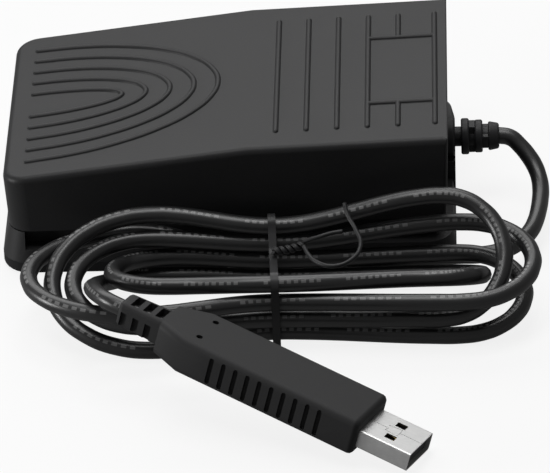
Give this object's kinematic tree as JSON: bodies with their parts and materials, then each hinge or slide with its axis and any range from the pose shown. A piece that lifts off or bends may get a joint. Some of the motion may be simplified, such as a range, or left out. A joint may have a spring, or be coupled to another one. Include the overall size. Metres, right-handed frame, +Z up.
{
  "type": "usb foot pedal switch",
  "caption": "Wedge-shaped foot pedal, hinged at its low end over a snap switch, with a tied cord and a long moulded USB-A plug.",
  "frame": {"origin": "under the middle of the sole, on the floor", "axes": "+X along the pedal towards the cord end, +Z up"},
  "size_m": [0.1279, 0.1545, 0.0344],
  "materials": {
    "cover_plastic": "fine matt moulded texture, black",
    "base_plastic": "satin black moulding",
    "sole_rubber": "matt black rubber",
    "steel": "plain bright steel",
    "switch_plastic": "matt black",
    "plunger_plastic": "red moulding",
    "brass": "plated contact metal",
    "cord_jacket": "satin black flexible jacket",
    "wire_jacket": "red wire insulation",
    "tie_coating": "black coated wire",
    "plug_plastic": "fine matt texture, black",
    "board_green": "green solder mask",
    "board_ceramic": "small board parts",
    "shell_steel": "satin plated steel",
    "tongue_plastic": "black contact carrier"
  },
  "bodies": {
    "pedal_base": {"base": "base_plastic", "rubber_sole": "sole_rubber", "sole_screws": "steel", "hinge_pin": "steel", "return_spring": "steel", "switch_body": "switch_plastic", "lever_brackets": "switch_plastic", "lever_pin": "steel", "switch_blades": "brass", "switch_screws": "steel", "stop_bumpers": "sole_rubber", "strain_relief": "cord_jacket", "inner_cable": "cord_jacket", "switch_wires": "wire_jacket", "cable_clamp": "switch_plastic", "clamp_screws": "steel", "cable_lead": "cord_jacket", "cable_hank": "cord_jacket", "cable_tail": "cord_jacket", "twist_tie": "tie_coating", "plug_overmould": "plug_plastic", "plug_cable": "cord_jacket", "plug_board": "board_green", "controller_chip": "switch_plastic", "board_parts": "board_ceramic", "usb_shell": "shell_steel", "usb_tongue": "tongue_plastic", "usb_contacts": "brass"},
    "pedal": {"pedal_cover": "cover_plastic"},
    "lever": {"switch_lever": "steel"},
    "plunger": {"switch_plunger": "plunger_plastic"}
  },
  "joints": [
    {"name": "pedal_hinge", "type": "hinge", "parent": "pedal_base", "child": "pedal", "pos_m": [-0.044, 0, 0.0145], "axis": [0, 1, 0], "range_deg": [0, 3.2], "stiffness_Nm_per_rad": 2.5, "springref_deg": -3.44, "deforming": ["return_spring"]},
    {"name": "lever_hinge", "type": "hinge", "parent": "pedal_base", "child": "lever", "pos_m": [0.01, 0, 0.0233], "axis": [0, 1, 0], "range_deg": [0, 13.2]},
    {"name": "plunger_slide", "type": "slide", "parent": "pedal_base", "child": "plunger", "axis": [0, 0, -1], "range_m": [0, 0.00113]}
  ],
  "couplings": [
    {"joint": "lever_hinge", "follows": "pedal_hinge", "ratio": 4.1},
    {"joint": "plunger_slide", "follows": "pedal_hinge", "m_per_rad": 0.02}
  ]
}
